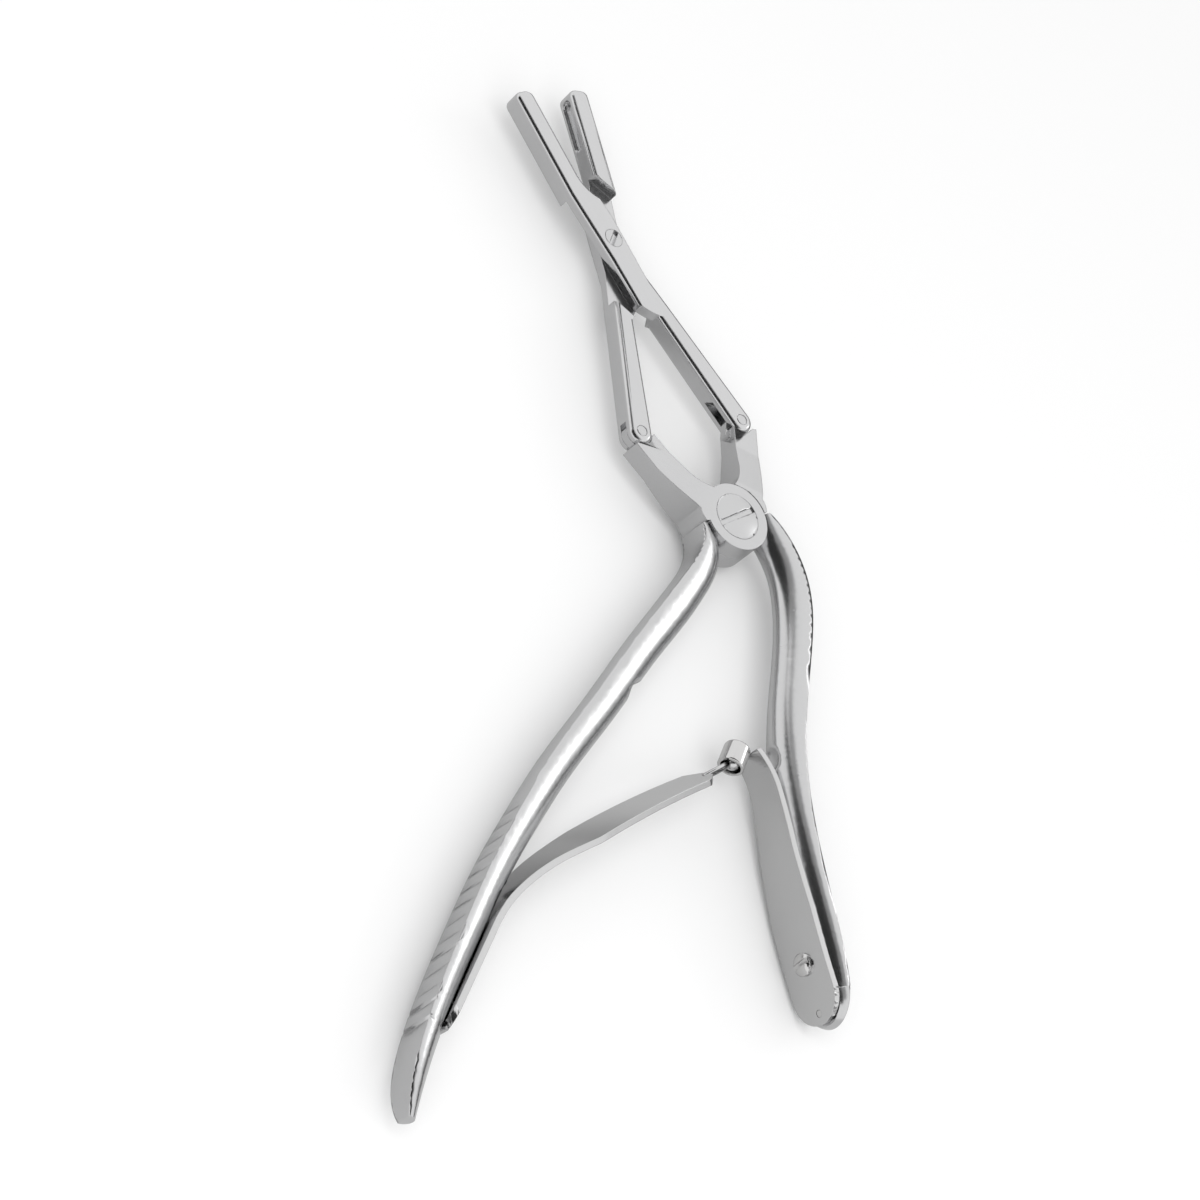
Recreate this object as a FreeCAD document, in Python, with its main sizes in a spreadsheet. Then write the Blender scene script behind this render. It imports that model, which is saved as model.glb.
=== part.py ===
import FreeCAD, Part
import math
import os
import Sketcher

from FreeCAD import Placement, Rotation, Vector

# Double-action septum forceps lying on its rear side, screw slots up.
# The origin is on the main pivot axis, in the rear face of the lap joint.
# +Y runs from the main pivot to the blade pivot, and the links lie in planes of constant Z.

doc = FreeCAD.newDocument("septum_forceps")
X_AXIS, Y_AXIS, Z_AXIS = Vector(1, 0, 0), Vector(0, 1, 0), Vector(0, 0, 1)

SIZES = {
    # Lap joint at the main pivot
    "joint_thick": 7.3,
    "disc_radius": 6.6,
    "lap_gap": 0.06,
    "seat_gap": 0.15,
    "main_head_radius": 4.5,
    "main_head_depth": 1.5,
    "main_shank_radius": 2.6,
    "screw_crown": 0.35,
    "slot_width": 0.9,
    "slot_depth": 0.7,
    "run_gap": 0.05,
    # Link pivots: half distance across, and distance above the main pivot
    "link_across": 12.3,
    "link_above": 19.2,
    "pin_radius": 1.1,
    "open_pin_gap": 0.3,
    "eye_radius": 2.4,
    "tongue_thick": 1.6,
    "fork_gap": 0.05,
    # Blades
    "pivot_distance": 58.0,
    "jaw_open_angle": 8.3,
    "blade_thick": 4.5,
    "jaw_length": 32.4,
    "jaw_depth": 4.2,
    "jaw_round": 0.9,
    "cup_length": 11.0,
    "cup_width": 2.3,
    "cup_depth": 0.9,
    "tail_half_width": 2.05,
    "blade_head_radius": 1.85,
    "blade_head_depth": 1.0,
    "blade_shank_radius": 1.1,
    # Leaf springs
    "leaf_thick": 1.1,
    "leaf_gap": 0.08,
    "palm_leaf_width": 10.8,
    "palm_leaf_tip": 6.2,
    "finger_leaf_width": 8.4,
    "finger_leaf_tip": 6.4,
    "socket_radius": 2.4,
    "socket_bore": 1.75,
    "socket_length": 4.6,
    "socket_depth": 3.9,
    "socket_room": 3.5,
    "ball_radius": 1.5,
    "ball_depth": 1.2,
    "leaf_screw_radius": 1.1,
    "leaf_head_radius": 2.0,
    "leaf_head_height": 1.1,
    "leaf_pin_radius": 0.6,
    # Share of a grip's thickness that its back is crowned by
    "back_crown": 0.08,
    # Ribs on the back of the finger handle
    "rib_pitch": 3.5,
    "rib_cutter": 1.5,
    "rib_depth": 0.35,
}

sheet = doc.addObject("Spreadsheet::Sheet", "sizes")
for row, (alias, value) in enumerate(SIZES.items(), start=1):
    sheet.set("A%d" % row, alias)
    sheet.set("B%d" % row, str(value))
    sheet.setAlias("B%d" % row, alias)
doc.recompute()


def size(alias):
    return SIZES[alias]


def bind(item, prop, expression):
    """Bind one property to cells of the sheet; names in braces are aliases."""
    item.setExpression(prop, expression.replace("{", "sizes.").replace("}", ""))


MID_Z = size("joint_thick") / 2
BLADE_LOW = MID_Z - size("blade_thick") / 2
LEFT_LINK = Vector(-size("link_across"), size("link_above"), 0)
RIGHT_LINK = Vector(size("link_across"), size("link_above"), 0)
BLADE_PIVOT = Vector(0, size("pivot_distance"), 0)
LINK_TO_PIVOT = (BLADE_PIVOT - LEFT_LINK).Length
TAIL_ANGLE = math.degrees(math.atan2(LEFT_LINK.x, LEFT_LINK.y - BLADE_PIVOT.y))
# Angle of the tail off the line of the jaw, in the blade's own frame
TAIL_BEND = 180 - abs(TAIL_ANGLE) - size("jaw_open_angle")


def origin_plane(body, role):
    for feature in body.Origin.OriginFeatures:
        if feature.Role == role:
            return feature
    raise ValueError(role)


def new_sketch(body, name, role="XY_Plane", offset=None):
    sketch = body.newObject("Sketcher::SketchObject", name)
    sketch.AttachmentSupport = [(origin_plane(body, role), "")]
    sketch.MapMode = "FlatFace"
    if offset is not None:
        sketch.AttachmentOffset = offset
    return sketch


def draw(sketch, corners):
    """Closed outline; a corner (x, y, bulge) starts an arc of that bulge."""
    count = len(corners)
    for index, corner in enumerate(corners):
        start = Vector(corner[0], corner[1], 0)
        end = Vector(corners[(index + 1) % count][0], corners[(index + 1) % count][1], 0)
        bulge = corner[2] if len(corner) > 2 else 0
        if bulge:
            chord = end - start
            side = Vector(chord.y, -chord.x, 0)
            middle = (start + end) * 0.5 + side * (bulge / 2)
            arc = Part.Arc(start, middle, end)
            sketch.addGeometry(arc, False)
        else:
            sketch.addGeometry(Part.LineSegment(start, end), False)


def circle(sketch, x, y, radius_expression, radius):
    index = sketch.addGeometry(Part.Circle(Vector(x, y, 0), Z_AXIS, radius), False)
    sketch.addConstraint(Sketcher.Constraint("Radius", index, radius))
    bind(sketch, "Constraints[%d]" % (sketch.ConstraintCount - 1), radius_expression)


def pad(body, sketch, name, length):
    feature = body.newObject("PartDesign::Pad", name)
    feature.Profile = sketch
    bind(feature, "Length", length)
    doc.recompute()
    return feature


def pocket(body, sketch, name, length, reverse=False):
    """Cut from the sketch plane; the volume must fall."""
    before = body.Shape.Volume
    feature = body.newObject("PartDesign::Pocket", name)
    feature.Profile = sketch
    feature.Reversed = reverse
    bind(feature, "Length", length)
    doc.recompute()
    if not body.Shape.Volume < before:
        raise ValueError("nothing cut by " + name)
    return feature


def pick_edges(shape, test):
    picked = []
    for index, edge in enumerate(shape.Edges, start=1):
        middle = edge.valueAt((edge.FirstParameter + edge.LastParameter) / 2)
        if test(edge, middle):
            picked.append("Edge%d" % index)
    return picked


def dress(body, kind, name, test, prop, expression):
    """Fillet or chamfer of the edges that pass the test."""
    base = body.Tip
    feature = body.newObject("PartDesign::" + kind, name)
    feature.Base = (base, pick_edges(base.Shape, test))
    bind(feature, prop, expression)
    doc.recompute()
    return feature


def turned(name, profile, place):
    """Body of revolution; the profile holds (radius, height) corners."""
    body = doc.addObject("PartDesign::Body", name)
    sketch = new_sketch(body, name + "_profile", "XZ_Plane")
    draw(sketch, profile)
    turn = body.newObject("PartDesign::Revolution", name + "_turn")
    turn.Profile = sketch
    turn.ReferenceAxis = (sketch, ["V_Axis"])
    turn.Angle = 360
    doc.recompute()
    body.Placement = place
    return body


def screw_slot(body, name, head_radius, top, angle):
    """Driver slot across the head of a turned screw."""
    half, reach = size("slot_width") / 2, head_radius * 2
    offset = Placement(Vector(0, 0, top - size("slot_depth")), Rotation(Z_AXIS, angle))
    sketch = new_sketch(body, name, "XY_Plane", offset)
    draw(sketch, [(-reach, -half), (reach, -half), (reach, half), (-reach, half)])
    pocket(body, sketch, name + "_cut", "{slot_depth} * 3", True)


def frame_along(point, tangent):
    """Local Z along the tangent, local X along the part's Z."""
    return Placement(point, Rotation(Z_AXIS, tangent.cross(Z_AXIS), tangent, "ZXY"))


def grip_section(name, place, thick, width, inner):
    """D-shaped section: nearly flat back, half-ellipse towards the hand's inside."""
    half, crown = width / 2, size("back_crown") * thick
    depth = thick - crown
    chord = -inner * (thick / 2 - crown)
    centre = Vector(0, chord, 0)
    along, across = Vector(0, chord + inner * depth, 0), Vector(inner * half, chord, 0)
    if depth > half:
        round_side = Part.ArcOfEllipse(Part.Ellipse(along, across, centre), -math.pi / 2, math.pi / 2)
    else:
        round_side = Part.ArcOfEllipse(Part.Ellipse(across, along, centre), 0, math.pi)
    sketch = doc.addObject("Sketcher::SketchObject", name)
    sketch.Placement = place
    sketch.addGeometry(round_side, False)
    back = Part.Arc(round_side.EndPoint, Vector(0, chord - inner * crown, 0), round_side.StartPoint)
    sketch.addGeometry(back, False)
    return sketch


def smooth_handle(name, stations, inner):
    """Loft; a station is x, y, thickness in the plane and width in Z."""
    sections = []
    for index, (x, y, thick, width) in enumerate(stations):
        before = stations[max(index - 1, 0)]
        after = stations[min(index + 1, len(stations) - 1)]
        tangent = Vector(after[0] - before[0], after[1] - before[1], 0)
        if index == 0:
            tangent = Vector(0, -1, 0)
        tangent.normalize()
        place = frame_along(Vector(x, y, MID_Z), tangent)
        sections.append(grip_section("%s_section_%d" % (name, index), place, thick, width, inner))
    loft = doc.addObject("Part::Loft", name)
    loft.Sections = sections
    loft.Solid = True
    loft.Ruled = False
    doc.recompute()
    return loft


def free_sketch(name, corners, height):
    sketch = doc.addObject("Sketcher::SketchObject", name)
    sketch.Placement = Placement(Vector(0, 0, height), Rotation())
    draw(sketch, corners)
    return sketch


def slab(name, corners, low, thick):
    """Outline extruded upwards from the height low."""
    slab_feature = doc.addObject("Part::Extrusion", name)
    slab_feature.Base = free_sketch(name + "_outline", corners, low)
    slab_feature.DirMode = "Custom"
    slab_feature.Dir = Z_AXIS
    slab_feature.Solid = True
    bind(slab_feature, "LengthFwd", thick)
    return slab_feature


def cylinder(name, x, y, low, radius, height):
    bar = doc.addObject("Part::Cylinder", name)
    bar.Placement = Placement(Vector(x, y, low), Rotation())
    bind(bar, "Radius", radius)
    bind(bar, "Height", height)
    return bar


def fuse(name, shapes):
    joined = doc.addObject("Part::MultiFuse", name)
    joined.Shapes = shapes
    joined.Refine = True
    return joined


def cut(name, base, tool):
    result = doc.addObject("Part::Cut", name)
    result.Base = base
    result.Tool = tool
    result.Refine = True
    return result


def flip(corners, side):
    """Mirror an outline across the YZ plane where side is -1."""
    if side > 0:
        return corners
    return [(-c[0], c[1]) + tuple(-b for b in c[2:]) for c in corners]


# Levers: an arm to a link, half of the lap joint and a hand grip

HALF_LAP = size("joint_thick") / 2 - size("lap_gap") / 2


def arm_plate(name, side):
    """Arm at full joint thickness, from the link shoulder to the heel."""
    pin = Vector(-size("link_across"), size("link_above"), 0)
    corners = [
        (pin.x - 2.4, pin.y - 2.3),
        (-12.0, 10.6, 0.04),
        (-7.6, 2.6, 0.2),
        (-size("disc_radius") - 0.75, size("seat_gap") / 2),
        (-size("disc_radius") / 2, size("seat_gap") / 2),
        (-2.5, size("disc_radius") - 0.45, -0.2),
        (-6.7, 11.0),
        (pin.x + 2.35, pin.y - 0.9),
    ]
    return slab(name, flip(corners, side), 0, "{joint_thick}")


def arm_taper(name, side):
    """Wedges that thin the arm to the blade's thickness at the link."""
    pin = Vector(-side * size("link_across"), size("link_above"), 0)
    along = pin.negative()
    along.normalize()
    place = Placement(pin, Rotation(along, Z_AXIS, along.cross(Z_AXIS), "ZXY"))
    flat_end, full_at = 6.5, pin.Length - size("disc_radius") - 0.8
    top = BLADE_LOW + size("blade_thick")
    wedges = []
    for part, level, joint_level, far in (
        ("front", top, size("joint_thick"), size("joint_thick") * 2),
        ("rear", BLADE_LOW, 0, -size("joint_thick")),
    ):
        sketch = doc.addObject("Sketcher::SketchObject", "%s_%s_line" % (name, part))
        sketch.Placement = place
        draw(sketch, [(-6, level), (flat_end, level), (full_at, joint_level), (full_at, far), (-6, far)])
        wedge = doc.addObject("Part::Extrusion", "%s_%s" % (name, part))
        wedge.Base = sketch
        wedge.DirMode = "Normal"
        wedge.LengthFwd = 2 * size("link_across")
        wedge.Symmetric = True
        wedge.Solid = True
        wedges.append(wedge)
    return wedges


def tongue(name, side):
    """Flat eye that stands in the fork of a blade's tail."""
    pin = Vector(-side * size("link_across"), size("link_above"), 0)
    low = MID_Z - size("tongue_thick") / 2
    eye = cylinder(name + "_eye", pin.x, pin.y, low, "{eye_radius}", "{tongue_thick}")
    along = pin.negative()
    along.normalize()
    across = Vector(-along.y, along.x, 0) * size("eye_radius")
    inner = pin + along * 4
    corners = [pin + across, pin - across, inner - across, inner + across]
    neck = slab(name + "_neck", [(c.x, c.y) for c in corners], low, "{tongue_thick}")
    return [eye, neck]


def lever(name, side, stations, bore, extra_cuts=()):
    """side is 1 for the palm lever, with the front half of the lap, and -1 for the finger lever."""
    pin = Vector(-side * size("link_across"), size("link_above"), 0)
    grip = smooth_handle(name + "_grip", stations, side)
    plate = arm_plate(name + "_arm", side)
    tongue_low = MID_Z - size("tongue_thick") / 2
    shoulder = "{eye_radius} + {seat_gap}"
    lap_low = -1 if side > 0 else MID_Z - size("lap_gap") / 2
    cuts = arm_taper(name + "_taper", side) + [
        cylinder(name + "_ear_low", pin.x, pin.y, tongue_low - 9, shoulder, "9"),
        cylinder(name + "_ear_top", pin.x, pin.y, tongue_low + size("tongue_thick"), shoulder, "9"),
        cylinder(name + "_lap", 0, 0, lap_low, "{disc_radius} + {seat_gap}",
                 "{joint_thick} / 2 + {lap_gap} / 2 + 1"),
    ]
    body = cut(name + "_shell", fuse(name + "_bulk", [grip, plate]), fuse(name + "_cuts", cuts))
    disc_low = size("joint_thick") - HALF_LAP if side > 0 else 0
    disc = cylinder(name + "_disc", 0, 0, disc_low, "{disc_radius}", "({joint_thick} - {lap_gap}) / 2")
    joined = fuse(name + "_joined", [body, disc] + tongue(name + "_tongue", side))
    pin_bore = cylinder(name + "_pin_bore", pin.x, pin.y, -1, bore, "{joint_thick} + 2")
    holes = [pin_bore] + list(extra_cuts)
    final = cut(name, joined, fuse(name + "_holes", holes))
    return final


def leaf_tool(name, corners):
    """Prism across the whole width of a grip."""
    return slab(name, corners, MID_Z - 10, "20")


def bar_along(name, point, direction, radius, length):
    bar = doc.addObject("Part::Cylinder", name)
    bar.Placement = Placement(point, Rotation(Z_AXIS, direction))
    bind(bar, "Radius", radius)
    bind(bar, "Height", length)
    return bar


# Palm grip: centre x, centre y, thickness in the plane, width in Z
PALM_STATIONS = [
    (7.0, -0.1, 2.9, 6.9),
    (8.0, -5.2, 5.4, 6.9),
    (8.3, -11.2, 6.3, 6.7),
    (2.6, -25.0, 6.3, 6.7),
    (-5.2, -37.0, 5.9, 7.2),
    (-11.1, -48.0, 5.4, 8.4),
    (-15.9, -60.0, 5.2, 10.4),
    (-19.3, -72.0, 5.2, 11.8),
    (-21.8, -83.0, 4.8, 11.8),
    (-23.1, -88.6, 4.0, 10.2),
    (-23.8, -92.0, 2.4, 7.0),
]
# Finger grip, the same way
FINGER_STATIONS = [
    (-7.0, -0.1, 2.9, 6.9),
    (-8.1, -5.4, 5.4, 6.9),
    (-13.2, -9.9, 6.0, 6.6),
    (-30.2, -20.3, 6.1, 6.4),
    (-44.5, -29.4, 5.9, 6.4),
    (-57.5, -37.4, 5.7, 6.6),
    (-68.8, -45.4, 5.4, 7.0),
    (-77.0, -51.7, 5.2, 7.4),
    (-87.0, -60.5, 5.0, 7.8),
    (-97.2, -70.0, 4.6, 8.0),
    (-104.4, -77.5, 4.2, 7.8),
    (-109.2, -83.8, 3.2, 6.4),
    (-111.0, -87.4, 1.8, 3.6),
]

# Palm leaf in the plane: inner face from the low end to the free end
PALM_LEAF = [(-24.7, -91.0, -0.04), (-19.7, -61.0, 0.02), (-16.8, -50.0, 0.12), (-17.2, -42.6)]
# Finger leaf in the plane: inner face from the low end to the free end
FINGER_LEAF = [(-100.0, -76.1, 0.002), (-84.0, -61.9, -0.1), (-66.3, -52.9, -0.04), (-27.4, -45.3)]


def leaf_spot(leaf, share, away):
    """Point on the first stretch of a leaf's inner face, and the normal that leaves the grip.

    away is 1 where the grip lies to the right of the leaf and -1 where it lies to the left.
    """
    start, end = Vector(*leaf[0][:2], MID_Z), Vector(*leaf[1][:2], MID_Z)
    chord = end - start
    side = Vector(chord.y, -chord.x, 0)
    edge = Part.Arc(start, (start + end) * 0.5 + side * (leaf[0][2] / 2), end).toShape()
    place = edge.FirstParameter + (edge.LastParameter - edge.FirstParameter) * share
    tangent = edge.tangentAt(place)
    return edge.valueAt(place), Z_AXIS.cross(tangent) * away


PALM_SCREW, PALM_SCREW_OUT = leaf_spot(PALM_LEAF, 0.36, 1)
PALM_PIN, PALM_PIN_OUT = leaf_spot(PALM_LEAF, 0.075, 1)
FINGER_SCREW, FINGER_SCREW_OUT = leaf_spot(FINGER_LEAF, 0.26, -1)
FINGER_PIN, FINGER_PIN_OUT = leaf_spot(FINGER_LEAF, 0.07, -1)

# The socket stands on the palm leaf and holds the finger leaf's ball
SOCKET_AXIS = Vector(-0.743, -0.669, 0)
SOCKET_BACK = Vector(-18.3, -40.9, MID_Z)
BALL = SOCKET_BACK + SOCKET_AXIS * (size("socket_length") - size("ball_depth"))
# Middle of the socket with the grips closed, seen from each grip
PALM_ROOM = Vector(-14.5, -43.3, MID_Z)
GRIP_TRAVEL = 31.8
FINGER_ROOM = Rotation(Z_AXIS, -GRIP_TRAVEL).multVec(PALM_ROOM)


# Cosine of the palm leaf's lean, which turns its thickness into a step along X
LEAF_TILT = 0.975


def palm_leaf_outline():
    """Inner face up, then the outer face back down."""
    step = size("leaf_thick") / LEAF_TILT
    back = [(x + step, y) for x, y, *rest in reversed(PALM_LEAF)]
    bulges = [corner[2] for corner in PALM_LEAF[:-1]]
    back = [point + (-bulge,) for point, bulge in zip(back, reversed(bulges))] + [back[-1]]
    return PALM_LEAF + back


def finger_leaf_outline():
    """Inner face out to the free end, then the face towards the grip back again."""
    thick = size("leaf_thick")
    points = [Vector(x, y, 0) for x, y, *rest in FINGER_LEAF]
    back = []
    for index, point in enumerate(points):
        run = points[min(index + 1, len(points) - 1)] - points[max(index - 1, 0)]
        run.normalize()
        back.append(point + Z_AXIS.cross(run) * thick)
    bulges = [corner[2] for corner in FINGER_LEAF[:-1]]
    corners = [(p.x, p.y, -bulge) for p, bulge in zip(reversed(back[1:]), reversed(bulges))]
    return FINGER_LEAF + corners + [(back[0].x, back[0].y)]


def palm_seat():
    """Flat on the palm grip that carries the leaf."""
    step = size("leaf_thick") / LEAF_TILT + size("leaf_gap")
    low, knee = PALM_LEAF[0], PALM_LEAF[1]
    foot = (low[0] + step - 1.4, low[1] - 7.0)
    return leaf_tool("palm_seat", [
        foot, (low[0] + step, low[1], low[2]), (knee[0] + step, knee[1]),
        (knee[0] + step + 2.4, knee[1] + 6.4), (-40, -50), (-40, -98),
    ])


def finger_seat():
    """Flat on the finger grip that carries the leaf."""
    lift = size("leaf_thick") + size("leaf_gap")
    low, knee = FINGER_LEAF[0], FINGER_LEAF[1]
    run = Vector(knee[0] - low[0], knee[1] - low[1], 0)
    run.normalize()
    outward = Z_AXIS.cross(run).negative()
    up = outward * -lift
    start = Vector(low[0], low[1], 0) + up - run * 1.2
    end = Vector(knee[0], knee[1], 0) + up + run * 9
    drop = outward * 12
    corners = [start, end, end + drop, start + drop]
    return leaf_tool("finger_seat", [(c.x, c.y) for c in corners])


def rib_cutters():
    """Round cutters, parallel to Z, along the back of the finger grip."""
    cutters = []
    reach = size("rib_cutter") - size("rib_depth")
    for start, end in zip(FINGER_STATIONS[6:10], FINGER_STATIONS[7:11]):
        run = Vector(end[0] - start[0], end[1] - start[1], 0)
        outward = Vector(run.y, -run.x, 0)
        outward.normalize()
        steps = max(int(round(run.Length / size("rib_pitch"))), 1)
        for step in range(steps):
            share = step / steps
            half = (start[2] + (end[2] - start[2]) * share) / 2
            spot = Vector(start[0], start[1], 0) + run * share + outward * (half + reach)
            index = len(cutters)
            cutters.append(cylinder("rib_%d" % index, spot.x, spot.y, -5, "{rib_cutter}", "20"))
    return cutters


def hollow(name, point):
    """Round hollow in a grip that takes the socket as the grips close."""
    ball = doc.addObject("Part::Sphere", name)
    ball.Placement = Placement(point, Rotation())
    bind(ball, "Radius", "{socket_room}")
    return ball


def palm_holes():
    """Counterbore and shank bore of the main screw, and the tapped holes of the leaf."""
    head_low = size("joint_thick") - size("main_head_depth")
    return [
        cylinder("head_bore", 0, 0, head_low, "{main_head_radius} + {run_gap}", "{main_head_depth} + 1"),
        cylinder("front_shank_bore", 0, 0, -1, "{main_shank_radius} + {run_gap}", "{joint_thick} + 2"),
        palm_seat(),
        bar_along("palm_tap", PALM_SCREW, PALM_SCREW_OUT.negative(), "{leaf_screw_radius}", "{leaf_thick} + 2.2"),
        bar_along("palm_pin_bore", PALM_PIN, PALM_PIN_OUT.negative(), "{leaf_pin_radius}", "{leaf_thick} + 1.6"),
        hollow("palm_room", PALM_ROOM),
    ]


def finger_holes():
    screw_in, pin_in = FINGER_SCREW_OUT.negative(), FINGER_PIN_OUT.negative()
    return [
        cylinder("rear_tap", 0, 0, -1, "{main_shank_radius}", "{joint_thick}"),
        finger_seat(),
        bar_along("finger_tap", FINGER_SCREW, screw_in, "{leaf_screw_radius}", "{leaf_thick} + 2.2"),
        bar_along("finger_pin_bore", FINGER_PIN, pin_in, "{leaf_pin_radius}", "{leaf_thick} + 1.6"),
        hollow("finger_room", FINGER_ROOM),
    ] + rib_cutters()


palm_lever = lever("palm_lever", 1, PALM_STATIONS, "{pin_radius} + {run_gap}", palm_holes())
finger_lever = lever("finger_lever", -1, FINGER_STATIONS, "{pin_radius} + {open_pin_gap}", finger_holes())


# Blades: jaw, half-lapped shank and forked tail

# Bulge of a quarter circle
QUARTER = math.tan(math.pi / 8)

def blade_outline(side):
    """Outline in the blade's own frame: pivot at the origin, biting face on x = 0."""
    bend = math.radians(TAIL_BEND)
    along = Vector(math.sin(bend), -math.cos(bend), 0)
    across = Vector(math.cos(bend), math.sin(bend), 0)
    pin = along * LINK_TO_PIVOT
    eye, half, depth = size("eye_radius"), size("tail_half_width"), size("jaw_depth")
    tip = size("jaw_length")
    inner_end, outer_end = pin - across * eye, pin + across * eye
    inner_top = along * 16.6 - across * (half - 0.1)
    outer_top = along * 15.5 + across * (half - 0.3)
    corners = [
        (0, 13.6), (0, tip - 1.6, QUARTER), (-1.6, tip), (-depth + 1.4, tip, QUARTER),
        (-depth, tip - 1.4), (-depth, 10.2), (-2.95, -4.0), (-2.65, -13.3, 0.1),
        (inner_top.x, inner_top.y), (inner_end.x, inner_end.y, 1.0),
        (outer_end.x, outer_end.y), (outer_top.x, outer_top.y), (2.4, -6.0),
        (2.35, 2.0, 0.06), (1.5, 9.4, -0.16),
    ]
    return flip(corners, side), along, across, pin


def blade(name, side):
    """side is 1 for the front blade and -1 for the rear blade."""
    body = doc.addObject("PartDesign::Body", name)
    corners, along, across, pin = blade_outline(side)
    outline = new_sketch(body, name + "_outline", offset=Placement(Vector(0, 0, BLADE_LOW), Rotation()))
    draw(outline, corners)
    pad(body, outline, name + "_plate", "{blade_thick}")

    def rim(edge, middle):
        on_face = min(abs(middle.z - BLADE_LOW), abs(middle.z - BLADE_LOW - size("blade_thick"))) < 0.01
        return on_face and middle.y > 14

    def tail_back(edge, middle):
        on_face = min(abs(middle.z - BLADE_LOW), abs(middle.z - BLADE_LOW - size("blade_thick"))) < 0.01
        return on_face and middle.y < -20 and middle.x * side > -middle.y * math.tan(math.radians(TAIL_BEND))

    dress(body, "Fillet", name + "_jaw_round", rim, "Radius", "{jaw_round}")
    dress(body, "Fillet", name + "_tail_round", tail_back, "Radius", "{jaw_round}")

    # Half lap: the other blade's shank crosses here
    lap_low = BLADE_LOW - 1 if side > 0 else MID_Z - size("lap_gap") / 2
    lap = new_sketch(body, name + "_lap_outline", offset=Placement(Vector(0, 0, lap_low), Rotation()))
    draw(lap, flip([(-6, 8.2), (0.6, 14.4), (7, 14.4), (7, -10.1), (-3.2, -20.3), (-6, -20.3)], side))
    pocket(body, lap, name + "_lap", "{blade_thick} / 2 + {lap_gap} / 2 + 1", True)

    # Fork slot for the tongue, deeper on the inner side
    half_slot = size("tongue_thick") / 2 + size("fork_gap")
    slot_place = Placement(Vector(0, 0, MID_Z - half_slot), Rotation())
    slot = new_sketch(body, name + "_slot_outline", offset=slot_place)
    inner_top = pin - along * 7.4 - across * 3.2
    outer_top = pin - along * 1.3 + across * 3.2
    low = pin + along * 5
    points = [inner_top, outer_top, low + across * 3.2, low - across * 3.2]
    draw(slot, flip([(p.x, p.y) for p in points], side))
    pocket(body, slot, name + "_slot", "{tongue_thick} + 2 * {fork_gap}", True)

    holes = new_sketch(body, name + "_holes")
    circle(holes, pin.x * side, pin.y, "{pin_radius}", size("pin_radius"))
    shank = "{blade_shank_radius} + {run_gap}" if side > 0 else "{blade_shank_radius}"
    gap = size("run_gap") if side > 0 else 0
    circle(holes, 0, 0, shank, size("blade_shank_radius") + gap)
    pocket(body, holes, name + "_bores", "{joint_thick}", True)
    if side > 0:
        top = BLADE_LOW + size("blade_thick")
        head = new_sketch(body, name + "_head_seat", offset=Placement(Vector(0, 0, top), Rotation()))
        circle(head, 0, 0, "{blade_head_radius} + {run_gap}", size("blade_head_radius") + gap)
        pocket(body, head, name + "_head_bore", "{blade_head_depth}")

    # Cup in the biting face
    cup = new_sketch(body, name + "_cup_outline", "YZ_Plane")
    radius = size("cup_width") / 2
    cup_end = size("jaw_length") - 1.6
    cup_start = cup_end - size("cup_length")
    draw(cup, [
        (cup_start + radius, MID_Z - radius), (cup_end - radius, MID_Z - radius, 1.0),
        (cup_end - radius, MID_Z + radius), (cup_start + radius, MID_Z + radius, 1.0),
    ])
    pocket(body, cup, name + "_cup", "{cup_depth}", side < 0)

    turn = size("jaw_open_angle") * side
    body.Placement = Placement(BLADE_PIVOT, Rotation(Z_AXIS, turn))
    return body


front_blade = blade("front_blade", 1)
rear_blade = blade("rear_blade", -1)


# Screws and pins

def slotted_screw(name, shank, head, low, seat, top, place, angle):
    """Flush screw; seat and top are the heights of the head."""
    crown = size("screw_crown") * head / size("main_head_radius")
    bulge = crown / head
    profile = [
        (0, low), (shank, low), (shank, seat), (head, seat), (head, top, 0.5 * bulge), (0, top + crown),
    ]
    body = turned(name, profile, Placement())
    screw_slot(body, name + "_slot", head, top + crown, angle)
    body.Placement = place
    return body


main_screw = slotted_screw(
    "main_screw", size("main_shank_radius"), size("main_head_radius"), 0,
    size("joint_thick") - size("main_head_depth") + size("run_gap"), size("joint_thick"), Placement(), 10.5,
)
blade_top = BLADE_LOW + size("blade_thick")
blade_screw = slotted_screw(
    "blade_screw", size("blade_shank_radius"), size("blade_head_radius"), BLADE_LOW,
    blade_top - size("blade_head_depth") + size("run_gap"), blade_top, Placement(BLADE_PIVOT, Rotation()), 46.6,
)


def link_pin(name, point):
    """Flush rivet through the ears of a fork."""
    edge = 0.15
    radius = size("pin_radius")
    profile = [
        (0, BLADE_LOW), (radius - edge, BLADE_LOW), (radius, BLADE_LOW + edge), (radius, blade_top - edge),
        (radius - edge, blade_top), (0, blade_top),
    ]
    return turned(name, profile, Placement(point, Rotation()))


left_link_pin = link_pin("left_link_pin", LEFT_LINK)
right_link_pin = link_pin("right_link_pin", RIGHT_LINK)


def leaf_screw(name, point, outward, leaf_thick):
    """Domed screw; its head bears on the leaf and its shank ends in the grip."""
    shank, head = size("leaf_screw_radius"), size("leaf_head_radius")
    height, reach = size("leaf_head_height"), leaf_thick + 2.1
    profile = [
        (0, -reach), (shank, -reach), (shank, 0.02), (head, 0.02), (head, 0.5, 0.33), (0, height),
    ]
    body = turned(name, profile, Placement())
    screw_slot(body, name + "_slot", head, height + 0.25, 0)
    body.Placement = Placement(point, Rotation(Z_AXIS, outward))
    return body


def leaf_pin(name, point, outward, leaf_thick):
    reach = leaf_thick + 1.5
    radius = size("leaf_pin_radius")
    profile = [(0, -reach), (radius, -reach), (radius, -0.05), (0, -0.05)]
    return turned(name, profile, Placement(point, Rotation(Z_AXIS, outward)))


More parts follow.
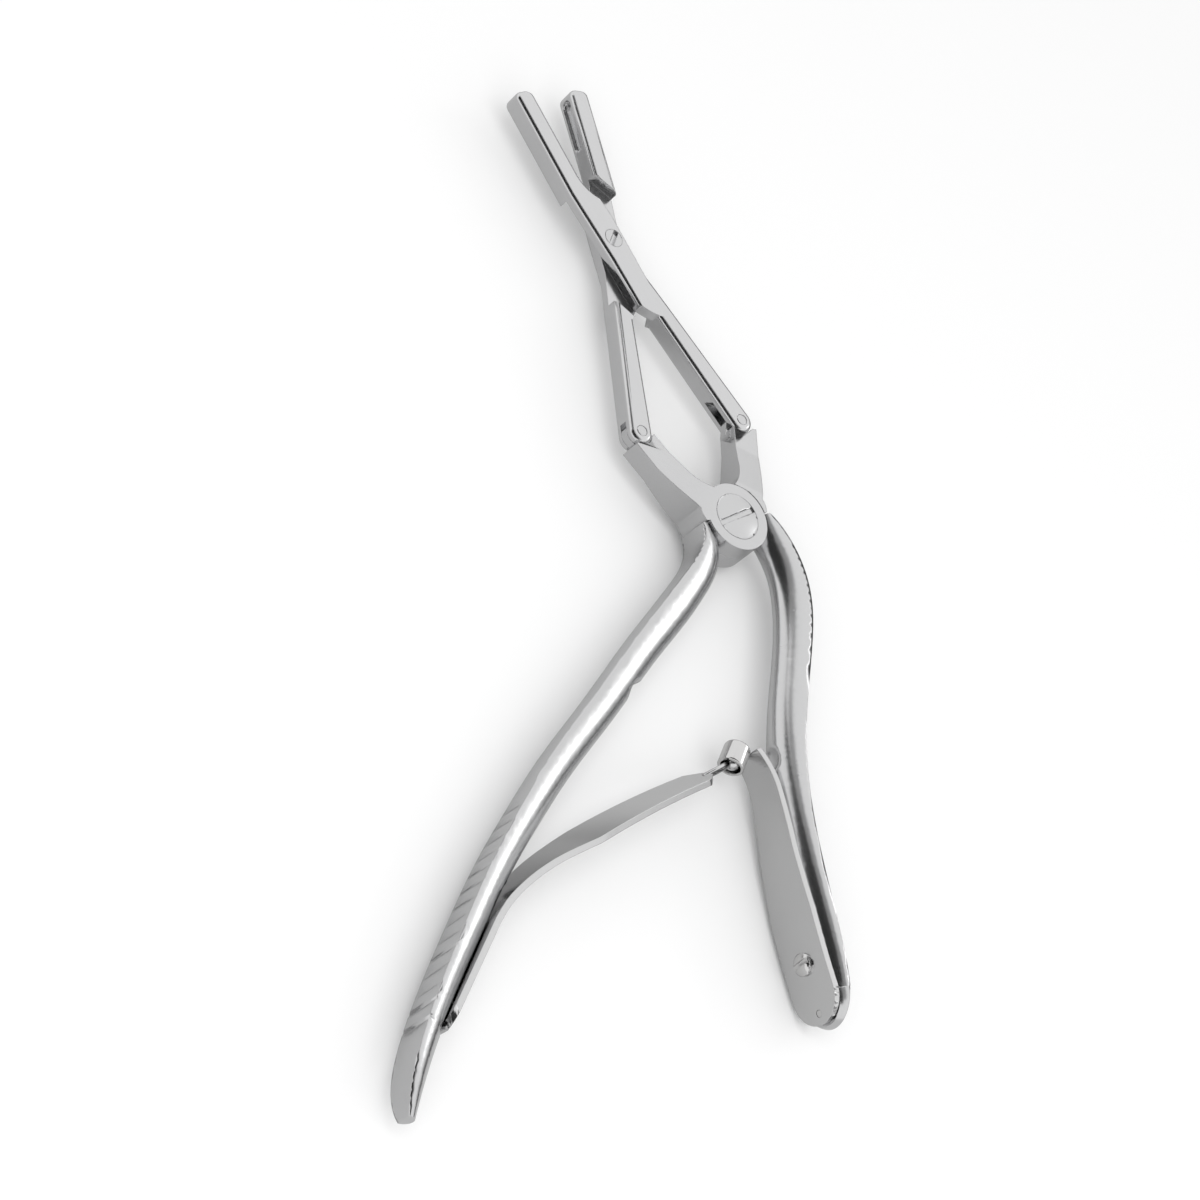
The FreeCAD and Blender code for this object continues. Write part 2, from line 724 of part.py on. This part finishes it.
palm_leaf_screw = leaf_screw("palm_leaf_screw", PALM_SCREW, PALM_SCREW_OUT, size("leaf_thick"))
palm_leaf_pin = leaf_pin("palm_leaf_pin", PALM_PIN, PALM_PIN_OUT, size("leaf_thick"))
finger_leaf_screw = leaf_screw("finger_leaf_screw", FINGER_SCREW, FINGER_SCREW_OUT, size("leaf_thick"))
finger_leaf_pin = leaf_pin("finger_leaf_pin", FINGER_PIN, FINGER_PIN_OUT, size("leaf_thick"))


# Leaf springs with a ball and a socket at their free ends

def side_plan(name, place, corners):
    """Plan of a leaf, extruded across the plane of motion."""
    sketch = doc.addObject("Sketcher::SketchObject", name + "_outline")
    sketch.Placement = place
    draw(sketch, corners)
    plan = doc.addObject("Part::Extrusion", name)
    plan.Base = sketch
    plan.DirMode = "Normal"
    plan.LengthFwd = 240
    plan.Symmetric = True
    plan.Solid = True
    return plan


def common(name, shapes):
    result = doc.addObject("Part::MultiCommon", name)
    result.Shapes = shapes
    return result


def leaf_hole(name, point, outward, radius):
    """Bar right through a leaf, from 1.5 mm above its inner face."""
    return bar_along(name, point + outward * 1.5, outward.negative(), radius, "6")


def palm_leaf():
    half, tip = size("palm_leaf_width") / 2, size("palm_leaf_tip") / 2
    low, top = PALM_LEAF[0][1], PALM_LEAF[-1][1]
    place = Placement(Vector(0, 0, MID_Z), Rotation(Y_AXIS, Z_AXIS, X_AXIS, "ZXY"))
    plan = side_plan("palm_leaf_plan", place, [
        (low + 5.2, -half), (-72, -half), (top, -tip), (top, tip), (-72, half), (low + 5.2, half, 0.9),
    ])
    profile = slab("palm_leaf_profile", palm_leaf_outline(), MID_Z - half - 1, "{palm_leaf_width} + 2")
    bare = common("palm_leaf_bare", [profile, plan])
    holes = fuse("palm_leaf_holes", [
        leaf_hole("palm_leaf_hole", PALM_SCREW, PALM_SCREW_OUT, "{leaf_screw_radius} + {run_gap}"),
        leaf_hole("palm_leaf_pin_hole", PALM_PIN, PALM_PIN_OUT, "{leaf_pin_radius} + {run_gap}"),
        bar_along("palm_leaf_socket_cut", SOCKET_BACK, SOCKET_AXIS, "{socket_radius}", "{socket_length}"),
    ])
    return cut("palm_leaf", bare, holes)


def finger_leaf():
    """Tapering leaf with a round neck and a ball at the free end."""
    half, tip = size("finger_leaf_width") / 2, size("finger_leaf_tip") / 2
    low, end = FINGER_LEAF[0][0], FINGER_LEAF[-1][0]
    place = Placement(Vector(0, 0, MID_Z), Rotation(X_AXIS, Z_AXIS, Y_AXIS.negative(), "ZXY"))
    plan = side_plan("finger_leaf_plan", place, [
        (low + 2.2, -half), (-72, -half), (end - 3.0, -tip), (end, -1.0), (end, 1.0), (end - 3.0, tip),
        (-72, half), (low + 2.2, half, 0.8),
    ])
    profile = slab("finger_leaf_profile", finger_leaf_outline(), MID_Z - half - 1, "{finger_leaf_width} + 2")
    bare = common("finger_leaf_bare", [profile, plan])
    tip_mid = Vector(end - 1.2, FINGER_LEAF[-1][1] + size("leaf_thick") / 2, MID_Z)
    reach = BALL - tip_mid
    neck = doc.addObject("Part::Cylinder", "ball_neck")
    neck.Placement = Placement(tip_mid, Rotation(Z_AXIS, reach))
    neck.Radius = 0.62
    neck.Height = reach.Length
    ball = doc.addObject("Part::Sphere", "ball_end")
    ball.Placement = Placement(BALL, Rotation())
    bind(ball, "Radius", "{ball_radius}")
    solid = fuse("finger_leaf_solid", [bare, neck, ball])
    holes = fuse("finger_leaf_holes", [
        leaf_hole("finger_leaf_hole", FINGER_SCREW, FINGER_SCREW_OUT, "{leaf_screw_radius} + {run_gap}"),
        leaf_hole("finger_leaf_pin_hole", FINGER_PIN, FINGER_PIN_OUT, "{leaf_pin_radius} + {run_gap}"),
    ])
    return cut("finger_leaf", solid, holes)


def spring_socket():
    """Turned ferrule on the palm leaf, open towards the finger leaf."""
    radius, bore = size("socket_radius"), size("socket_bore")
    length, floor = size("socket_length"), size("socket_length") - size("socket_depth")
    profile = [
        (0, 0), (radius - 0.5, 0, 0.4), (radius, 0.5), (radius, length - 0.25), (radius - 0.25, length),
        (bore + 0.15, length), (bore, length - 0.15), (bore, floor), (0, floor),
    ]
    return turned("spring_socket", profile, Placement(SOCKET_BACK, Rotation(Z_AXIS, SOCKET_AXIS)))


palm_leaf_part = palm_leaf()
finger_leaf_part = finger_leaf()
socket = spring_socket()

PARTS = {
    "palm_lever": palm_lever,
    "finger_lever": finger_lever,
    "main_screw": main_screw,
    "front_blade": front_blade,
    "rear_blade": rear_blade,
    "blade_screw": blade_screw,
    "left_link_pin": left_link_pin,
    "right_link_pin": right_link_pin,
    "palm_leaf": palm_leaf_part,
    "spring_socket": socket,
    "finger_leaf": finger_leaf_part,
    "palm_leaf_screw": palm_leaf_screw,
    "palm_leaf_pin": palm_leaf_pin,
    "finger_leaf_screw": finger_leaf_screw,
    "finger_leaf_pin": finger_leaf_pin,
}

doc.recompute()
for item in doc.Objects:
    if "Invalid" in item.State or "Error" in item.State:
        raise ValueError("%s is %s" % (item.Name, item.State))

os.makedirs("parts", exist_ok=True)
for label, item in PARTS.items():
    item.Label = label
    shape = item.Shape
    if shape.isNull() or not shape.isValid():
        raise ValueError("bad shape in " + label)
    shape.exportStep("parts/%s.step" % label)
    box = shape.BoundBox
    print("%-18s solids %d volume %8.2f  X %7.2f %7.2f  Y %7.2f %7.2f  Z %5.2f %5.2f" % (
        label, len(shape.Solids), shape.Volume, box.XMin, box.XMax, box.YMin, box.YMax, box.ZMin, box.ZMax))
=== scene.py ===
import math
import bpy
from mathutils import Matrix, Vector


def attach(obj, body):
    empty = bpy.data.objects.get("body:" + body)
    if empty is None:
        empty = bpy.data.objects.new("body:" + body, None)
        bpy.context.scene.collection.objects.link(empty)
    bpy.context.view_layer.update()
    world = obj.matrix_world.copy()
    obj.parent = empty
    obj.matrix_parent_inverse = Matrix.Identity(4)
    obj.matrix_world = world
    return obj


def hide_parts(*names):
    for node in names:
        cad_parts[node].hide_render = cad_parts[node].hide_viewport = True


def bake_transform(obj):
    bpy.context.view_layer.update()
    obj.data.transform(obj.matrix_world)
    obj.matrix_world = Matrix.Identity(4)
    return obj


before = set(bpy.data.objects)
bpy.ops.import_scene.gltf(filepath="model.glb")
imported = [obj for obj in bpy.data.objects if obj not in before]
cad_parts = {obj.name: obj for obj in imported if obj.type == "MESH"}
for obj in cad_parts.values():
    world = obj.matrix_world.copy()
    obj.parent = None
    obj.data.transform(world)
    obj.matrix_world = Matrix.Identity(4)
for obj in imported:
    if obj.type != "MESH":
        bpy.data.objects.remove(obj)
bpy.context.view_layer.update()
print("frame loaded,", len(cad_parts), "solids")


# a shader value that can be used in ordinary sums
class Wire:
    def __init__(self, nodes, socket):
        self.nodes = nodes
        self.socket = socket

    def sum(self, operation, first, second):
        return self.nodes.add("ShaderNodeMath", {"operation": operation}, {0: first, 1: second})

    def __add__(self, other):
        return self.sum("ADD", self, other)

    def __radd__(self, other):
        return self.sum("ADD", other, self)

    def __sub__(self, other):
        return self.sum("SUBTRACT", self, other)

    def __rsub__(self, other):
        return self.sum("SUBTRACT", other, self)

    def __mul__(self, other):
        return self.sum("MULTIPLY", self, other)

    def __rmul__(self, other):
        return self.sum("MULTIPLY", other, self)


# the node tree of a material or of the world
class Nodes:
    def __init__(self, owner):
        owner.use_nodes = True
        self.tree = owner.node_tree
        self.tree.nodes.clear()

    def add(self, kind, settings={}, sockets={}, out=0):
        node = self.tree.nodes.new(kind)
        for key, value in settings.items():
            if key == "stops":
                ramp = node.color_ramp
                while len(ramp.elements) < len(value):
                    ramp.elements.new(0.5)
                for stop, (place, shade) in zip(ramp.elements, value):
                    stop.position = place
                    stop.color = (shade, shade, shade, 1)
            else:
                setattr(node, key, value)
        for key, value in sockets.items():
            if isinstance(value, Wire):
                self.tree.links.new(value.socket, node.inputs[key])
            else:
                node.inputs[key].default_value = value
        return Wire(self, node.outputs[out]) if len(node.outputs) else None


# streak is the fineness of the brushing, turn its direction, edge the polished radius in metres
steelLooks = {
    "satinSteel": {
        "colour": (0.66, 0.66, 0.665), "dark": (0.56, 0.56, 0.565), "rough": 0.21, "grain": 0.06,
        "streak": (2600, 90, 2600), "turn": -0.95, "edge": 0.00016, "bump": 0.04,
    },
    "bladeSteel": {
        "colour": (0.68, 0.68, 0.685), "dark": (0.58, 0.58, 0.585), "rough": 0.19, "grain": 0.06,
        "streak": (2600, 80, 2600), "turn": 0.0, "edge": 0.00015, "bump": 0.04,
    },
    "springSteel": {
        "colour": (0.68, 0.68, 0.68), "dark": (0.58, 0.58, 0.585), "rough": 0.19, "grain": 0.08,
        "streak": (2200, 70, 2200), "turn": -0.15, "edge": 0.00014, "bump": 0.03,
    },
    "polishedSteel": {
        "colour": (0.70, 0.695, 0.69), "dark": (0.60, 0.60, 0.60), "rough": 0.10, "grain": 0.05,
        "streak": (1800, 300, 1800), "turn": 0.4, "edge": 0.00010, "bump": 0.02,
    },
}
# what all the finishes share: the size of each mark and how much it shows
marks = {
    "cloudScale": 55.0, "cloudDetail": 3.0, "streakDetail": 3.0, "gritScale": 4200.0, "gritDetail": 2.0,
    "hairTurn": 0.35, "hairScale": (1500, 60, 900), "hairStops": [(0.70, 0.0), (0.76, 1.0)],
    "edgeSamples": 6, "wornStops": [(0.02, 0.0), (0.14, 1.0)],
    "wornColour": (0.74, 0.74, 0.74, 1), "wornShare": 0.35,
    "shadeStart": 0.30, "shadeCloud": 0.50, "shadeStreak": 0.25,
    "noiseMiddle": 0.5, "roughGrit": 0.03, "roughHair": 0.06, "roughWorn": 0.04,
    "reliefStreak": 0.6, "reliefGrit": 0.4, "reliefHair": 0.5, "reliefDepth": 0.00002,
}


def steel(name):
    look = steelLooks[name]
    material = bpy.data.materials.new(name)
    nodes = Nodes(material)
    place = nodes.add("ShaderNodeTexCoord", out=3)
    turned = nodes.add("ShaderNodeMapping", sockets={
        "Vector": place, "Rotation": (0, 0, look["turn"])})
    streaked = nodes.add("ShaderNodeMapping", sockets={"Vector": turned, "Scale": look["streak"]})
    cloud = nodes.add("ShaderNodeTexNoise", sockets={
        "Vector": place, "Scale": marks["cloudScale"], "Detail": marks["cloudDetail"]})
    streak = nodes.add("ShaderNodeTexNoise", sockets={
        "Vector": streaked, "Scale": 1.0, "Detail": marks["streakDetail"]})
    grit = nodes.add("ShaderNodeTexNoise", sockets={
        "Vector": place, "Scale": marks["gritScale"], "Detail": marks["gritDetail"]})
    # sparse hairline marks from handling
    crossed = nodes.add("ShaderNodeMapping", sockets={
        "Vector": turned, "Rotation": (0, 0, marks["hairTurn"]), "Scale": marks["hairScale"]})
    hair = nodes.add("ShaderNodeTexNoise", sockets={"Vector": crossed, "Scale": 1.0, "Detail": 1.0})
    hair = nodes.add("ShaderNodeValToRGB", {"stops": marks["hairStops"]}, {"Fac": hair})
    # edges are rounded by polishing, and worn brighter there
    rounded = nodes.add("ShaderNodeBevel", {"samples": marks["edgeSamples"]}, {"Radius": look["edge"]})
    facing = nodes.add("ShaderNodeNewGeometry", out=1)
    flat = nodes.add("ShaderNodeVectorMath", {"operation": "DOT_PRODUCT"}, {0: rounded, 1: facing}, out=1)
    worn = nodes.add("ShaderNodeValToRGB", {"stops": marks["wornStops"]}, {"Fac": 1 - flat})
    shade = marks["shadeStart"] + cloud * marks["shadeCloud"] + streak * marks["shadeStreak"]
    colour = nodes.add("ShaderNodeMix", {"data_type": "RGBA"}, {
        0: shade, 6: (*look["dark"], 1), 7: (*look["colour"], 1)}, out=2)
    colour = nodes.add("ShaderNodeMix", {"data_type": "RGBA"}, {
        0: worn * marks["wornShare"], 6: colour, 7: marks["wornColour"]}, out=2)
    rough = look["rough"] + (streak - marks["noiseMiddle"]) * look["grain"]
    rough = rough + (grit - marks["noiseMiddle"]) * marks["roughGrit"]
    rough = rough + hair * marks["roughHair"] - worn * marks["roughWorn"]
    height = streak * marks["reliefStreak"] + grit * marks["reliefGrit"] - hair * marks["reliefHair"]
    relief = nodes.add("ShaderNodeBump", sockets={
        "Strength": look["bump"], "Distance": marks["reliefDepth"], "Height": height, "Normal": rounded})
    shader = nodes.add("ShaderNodeBsdfPrincipled", sockets={
        "Base Color": colour, "Metallic": 1.0, "Roughness": rough, "Normal": relief})
    nodes.add("ShaderNodeOutputMaterial", sockets={"Surface": shader})
    return material


steels = {name: steel(name) for name in steelLooks}
print("materials made,", len(steels))


def selectOnly(piece):
    bpy.ops.object.select_all(action="DESELECT")
    piece.select_set(True)
    bpy.context.view_layer.objects.active = piece


def editAll(piece):
    selectOnly(piece)
    bpy.ops.object.mode_set(mode="EDIT")
    bpy.ops.mesh.select_all(action="SELECT")


# flatness, in degrees, is how far faces may turn and still be merged into one flat
finish = {
    "mergeWithin": 0.000002, "flatness": 0.5, "gripFlatness": 0.05,
    "areaWeight": 80, "cornerWeight": 50,
}


# smooth where the metal is smooth, with flats that stay flat up to their edges
def smoothed(piece, angle, byArea=True):
    selectOnly(piece)
    bpy.ops.object.shade_smooth_by_angle(angle=math.radians(angle))
    weigh = piece.modifiers.new("flats", "WEIGHTED_NORMAL")
    weigh.keep_sharp = True
    weigh.mode = "FACE_AREA" if byArea else "CORNER_ANGLE"
    weigh.weight = finish["areaWeight"] if byArea else finish["cornerWeight"]
    bpy.ops.object.modifier_apply(modifier=weigh.name)


# a merged copy of a solid
def dressed(node, name, look, flatness=finish["flatness"]):
    piece = bpy.data.objects.new(name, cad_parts[node].data.copy())
    bpy.context.collection.objects.link(piece)
    editAll(piece)
    bpy.ops.mesh.remove_doubles(threshold=finish["mergeWithin"])
    bpy.ops.mesh.normals_make_consistent(inside=False)
    bpy.ops.mesh.dissolve_limited(angle_limit=math.radians(flatness))
    bpy.ops.object.mode_set(mode="OBJECT")
    piece.data.materials.clear()
    piece.data.materials.append(steels[look])
    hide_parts(node)
    return piece


# solid: piece, the body it rides on, its finish and its smoothing angle in degrees
forgings = {
    "palm_lever": ("palmGrip", "palm_side", "satinSteel", 32),
    "finger_lever": ("fingerGrip", "finger_side", "satinSteel", 32),
    "rear_blade": ("rearBlade", "rear_jaw", "bladeSteel", 30),
    "front_blade": ("frontBlade", "front_jaw", "bladeSteel", 30),
    "main_screw": ("mainScrew", "finger_side", "satinSteel", 30),
    "blade_screw": ("bladeScrew", "rear_jaw", "satinSteel", 30),
    "left_link_pin": ("leftLinkPin", "rear_jaw", "satinSteel", 30),
    "right_link_pin": ("rightLinkPin", "front_jaw", "satinSteel", 30),
    "palm_leaf_screw": ("palmLeafScrew", "palm_side", "polishedSteel", 40),
    "palm_leaf_pin": ("palmLeafPin", "palm_side", "polishedSteel", 40),
    "finger_leaf_screw": ("fingerLeafScrew", "finger_side", "polishedSteel", 40),
    "finger_leaf_pin": ("fingerLeafPin", "finger_side", "polishedSteel", 40),
    "spring_socket": ("springSocket", "palm_spring", "polishedSteel", 40),
}
# the grip is cut off square to its run, and an oval takes the place of its end;
# back and seat are the planes that cut the oval flat, behind and where the leaf lies
palmEnd = {
    "cut": (-0.0225, -0.0862, 0.00365), "run": (-0.24, -0.97, 0),
    "middle": (-0.02052, -0.0859, 0.00365), "size": (0.0048, 0.0062, 0.0055), "turn": -16.7,
    "segments": 64, "rings": 32, "back": (0.958, -0.287, 0),
    "seat": (-0.02352, -0.0910, 0.00365), "seatFacing": (0.986, -0.164, 0),
}


# the palm grip's end is ground to a flat-sided oval that follows the end of its leaf
def roundPalmEnd(piece):
    editAll(piece)
    bpy.ops.mesh.bisect(
        plane_co=palmEnd["cut"], plane_no=palmEnd["run"], use_fill=True, clear_outer=True)
    bpy.ops.object.mode_set(mode="OBJECT")
    bpy.ops.object.select_all(action="DESELECT")
    bpy.ops.mesh.primitive_uv_sphere_add(
        segments=palmEnd["segments"], ring_count=palmEnd["rings"], radius=1,
        location=palmEnd["middle"], scale=palmEnd["size"],
        rotation=(0, 0, math.radians(palmEnd["turn"])))
    tip = bpy.context.object
    bpy.ops.object.transform_apply(location=True, rotation=True, scale=True)
    editAll(tip)
    bpy.ops.mesh.bisect(
        plane_co=palmEnd["seat"], plane_no=palmEnd["seatFacing"], use_fill=True, clear_inner=True)
    bpy.ops.mesh.select_all(action="SELECT")
    bpy.ops.mesh.bisect(
        plane_co=palmEnd["middle"], plane_no=palmEnd["back"], use_fill=True, clear_outer=True)
    bpy.ops.object.mode_set(mode="OBJECT")
    tip.data.materials.append(piece.data.materials[0])
    selectOnly(piece)
    tip.select_set(True)
    bpy.ops.object.join()


for node, (name, body, look, angle) in forgings.items():
    isGrip = name in ("palmGrip", "fingerGrip")
    piece = dressed(node, name, look, finish["gripFlatness" if isGrip else "flatness"])
    if name == "palmGrip":
        roundPalmEnd(piece)
    smoothed(piece, angle, not isGrip)
    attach(piece, body)
print("levers, blades, screws and pins dressed,", len(forgings))


# clamped and loose are the points between which a leaf bends; twist is in degrees,
# and twistFrom and twistTo are shares of the way between them
leaves = {
    "palm": {
        "node": "palm_leaf", "name": "palmSpring", "grip": "palm_side", "free": "palm_spring",
        "clamped": (-0.0225, -0.0760, 0.00365), "loose": (-0.0170, -0.0455, 0.00365), "cuts": 30,
    },
    "finger": {
        "node": "finger_leaf", "name": "fingerSpring", "grip": "finger_side", "free": "finger_spring",
        "clamped": (-0.0825, -0.0605, 0.00365), "loose": (-0.0300, -0.0458, 0.00365), "cuts": 36,
        "twist": 27, "twistFrom": 0.04, "twistTo": 0.45,
    },
}
# the cuts start a little before the clamped point and end past the loose one
leafCuts = {"before": 0.1, "span": 1.15, "smooth": 35}


# the free end is turned in its ball joint, so the leaf winds a little about its own length
def windLeaf(piece, leaf):
    start, end = Vector(leaf["clamped"]), Vector(leaf["loose"])
    bpy.ops.object.select_all(action="DESELECT")
    bpy.ops.object.empty_add(location=start)
    spine = bpy.context.object
    spine.rotation_mode = "QUATERNION"
    spine.rotation_quaternion = (end - start).to_track_quat("Z", "Y")
    bpy.context.view_layer.update()
    selectOnly(piece)
    wind = piece.modifiers.new("wind", "SIMPLE_DEFORM")
    wind.deform_method = "TWIST"
    wind.origin = spine
    wind.deform_axis = "Z"
    along = [(spine.matrix_world.inverted() @ vert.co).z for vert in piece.data.vertices]
    low, high = min(along), max(along)
    reach = (end - start).length
    wind.limits = [(leaf[share] * reach - low) / (high - low) for share in ("twistFrom", "twistTo")]
    wind.angle = math.radians(leaf["twist"])
    bpy.ops.object.modifier_apply(modifier=wind.name)
    bpy.data.objects.remove(spine)


# a leaf is cut across many times, so that a bend of it would be a smooth curve
def bendingLeaf(leaf):
    piece = dressed(leaf["node"], leaf["name"], "springSteel")
    start, end = Vector(leaf["clamped"]), Vector(leaf["loose"])
    run = end - start
    for step in range(leaf["cuts"]):
        editAll(piece)
        spot = start - run * leafCuts["before"] + run * (leafCuts["span"] * step / leaf["cuts"])
        bpy.ops.mesh.bisect(plane_co=spot, plane_no=run.normalized())
        bpy.ops.object.mode_set(mode="OBJECT")
    if "twist" in leaf:
        windLeaf(piece, leaf)
    smoothed(piece, leafCuts["smooth"])
    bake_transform(piece)


for leaf in leaves.values():
    bendingLeaf(leaf)


studio = {
    "floorHeight": -0.0030, "floorSize": 3.0, "floorShade": 0.92,
    "feltMottle": 8.0, "feltRough": 0.85, "feltVaries": 0.1, "feltSpecular": 0.1,
    "worldShade": 1.0, "worldFill": 0.75,
    "keyPower": 0.5, "keySize": 0.32, "keyPlace": (0.85, -0.05, 0.48),
    "fillPower": 7.0, "fillSize": 1.2, "fillPlace": (-0.5, -0.4, 0.9),
    "lampsAim": (-0.02, -0.02, 0),
}


def plainMaterial(name, shade):
    material = bpy.data.materials.new(name)
    nodes = Nodes(material)
    place = nodes.add("ShaderNodeTexCoord", out=3)
    mottle = nodes.add("ShaderNodeTexNoise", sockets={"Vector": place, "Scale": studio["feltMottle"]})
    shader = nodes.add("ShaderNodeBsdfPrincipled", sockets={
        "Base Color": (shade, shade, shade, 1),
        "Roughness": studio["feltRough"] + mottle * studio["feltVaries"],
        "Specular IOR Level": studio["feltSpecular"]})
    nodes.add("ShaderNodeOutputMaterial", sockets={"Surface": shader})
    return material


def plate(name, material, place, size, normal):
    bpy.ops.object.select_all(action="DESELECT")
    bpy.ops.mesh.primitive_plane_add(size=1, location=place)
    card = bpy.context.object
    card.name = name
    card.rotation_mode = "QUATERNION"
    card.rotation_quaternion = Vector(normal).to_track_quat("Z", "Y")
    card.scale = (size[0], size[1], 1)
    card.data.materials.append(material)
    return card


plate("floor", plainMaterial("paleFloor", studio["floorShade"]), (0, 0, studio["floorHeight"]),
      (studio["floorSize"], studio["floorSize"]), (0, 0, 1))

# grey and dark cards, as a studio uses for metal: only reflections see them
cards = {
    "cardRight": {
        "place": (0.36, -0.02, 0.040), "size": (0.75, 0.09), "normal": (-1, 0, 0), "shade": 0.04},
    "cardMiddle": {
        "place": (0.36, -0.02, 0.125), "size": (0.75, 0.08), "normal": (-1, 0, 0), "shade": 0.45},
    "cardLow": {
        "place": (0.20, -0.05, -0.0028), "size": (0.30, 0.60), "normal": (0, 0, 1), "shade": 0.05},
    "cardHigh": {
        "place": (-0.60, 0.02, 0.60), "size": (1.06, 1.20), "normal": (0, 0, -1), "shade": 0.03},
    "cardTop": {
        "place": (0.03, 0.02, 0.60), "size": (0.20, 0.90), "normal": (0, 0, -1), "shade": 0.36},
    "cardUnder": {
        "place": (-0.2, 0.0, -0.0029), "size": (0.90, 0.90), "normal": (0, 0, 1), "shade": 0.60},
}
for name, card in cards.items():
    felt = plainMaterial(name + "Felt", card["shade"])
    dark = plate(name, felt, card["place"], card["size"], card["normal"])
    dark.visible_camera = False
    dark.visible_diffuse = False
    dark.visible_shadow = False


def softLamp(name, power, size, place):
    data = bpy.data.lights.new(name, "AREA")
    data.energy = power
    data.size = size
    lamp = bpy.data.objects.new(name, data)
    bpy.context.collection.objects.link(lamp)
    lamp.location = place
    lamp.rotation_mode = "QUATERNION"
    lamp.rotation_quaternion = (Vector(place) - Vector(studio["lampsAim"])).to_track_quat("Z", "Y")
    return lamp


softLamp("keyLamp", studio["keyPower"], studio["keySize"], studio["keyPlace"])
fill = softLamp("fillLamp", studio["fillPower"], studio["fillSize"], studio["fillPlace"])
fill.visible_glossy = False

# the backdrop is white for the camera and in reflections, and dimmer as light on the object
world = bpy.data.worlds.new("studio")
bpy.context.scene.world = world
sky = Nodes(world)
seen = sky.add("ShaderNodeLightPath", out="Is Camera Ray")
for ray in ("Is Glossy Ray", "Is Transmission Ray"):
    alsoSeen = sky.add("ShaderNodeLightPath", out=ray)
    seen = sky.add("ShaderNodeMath", {"operation": "ADD", "use_clamp": True}, {0: seen, 1: alsoSeen})
glow, backdrop = (
    sky.add("ShaderNodeBackground", sockets={"Color": (1, 1, 1, 1), "Strength": studio[strength]})
    for strength in ("worldFill", "worldShade"))
either = sky.add("ShaderNodeMixShader", sockets={0: seen, 1: glow, 2: backdrop})
sky.add("ShaderNodeOutputWorld", sockets={"Surface": either})
bpy.context.scene.view_settings.view_transform = "Standard"
print("studio set")

# the photograph's place, turned so that its sides match the picture's
photoView = {
    "place": (-0.39731, -0.153094, 0.39635), "lens": 97.214, "sensor": 36, "clip": (0.01, 10),
    "right": (0.746775, -0.36436, 0.556389), "up": (0.115124, 0.894768, 0.431436),
    "back": (-0.655037, -0.258132, 0.710137),
}
data = bpy.data.cameras.new("camera")
data.lens = photoView["lens"]
data.sensor_width = photoView["sensor"]
data.clip_start, data.clip_end = photoView["clip"]
camera = bpy.data.objects.new("camera", data)
bpy.context.collection.objects.link(camera)
axes = Matrix((photoView["right"], photoView["up"], photoView["back"])).transposed().to_4x4()
camera.matrix_world = Matrix.Translation(photoView["place"]) @ axes
bpy.context.scene.camera = camera
print("camera set")
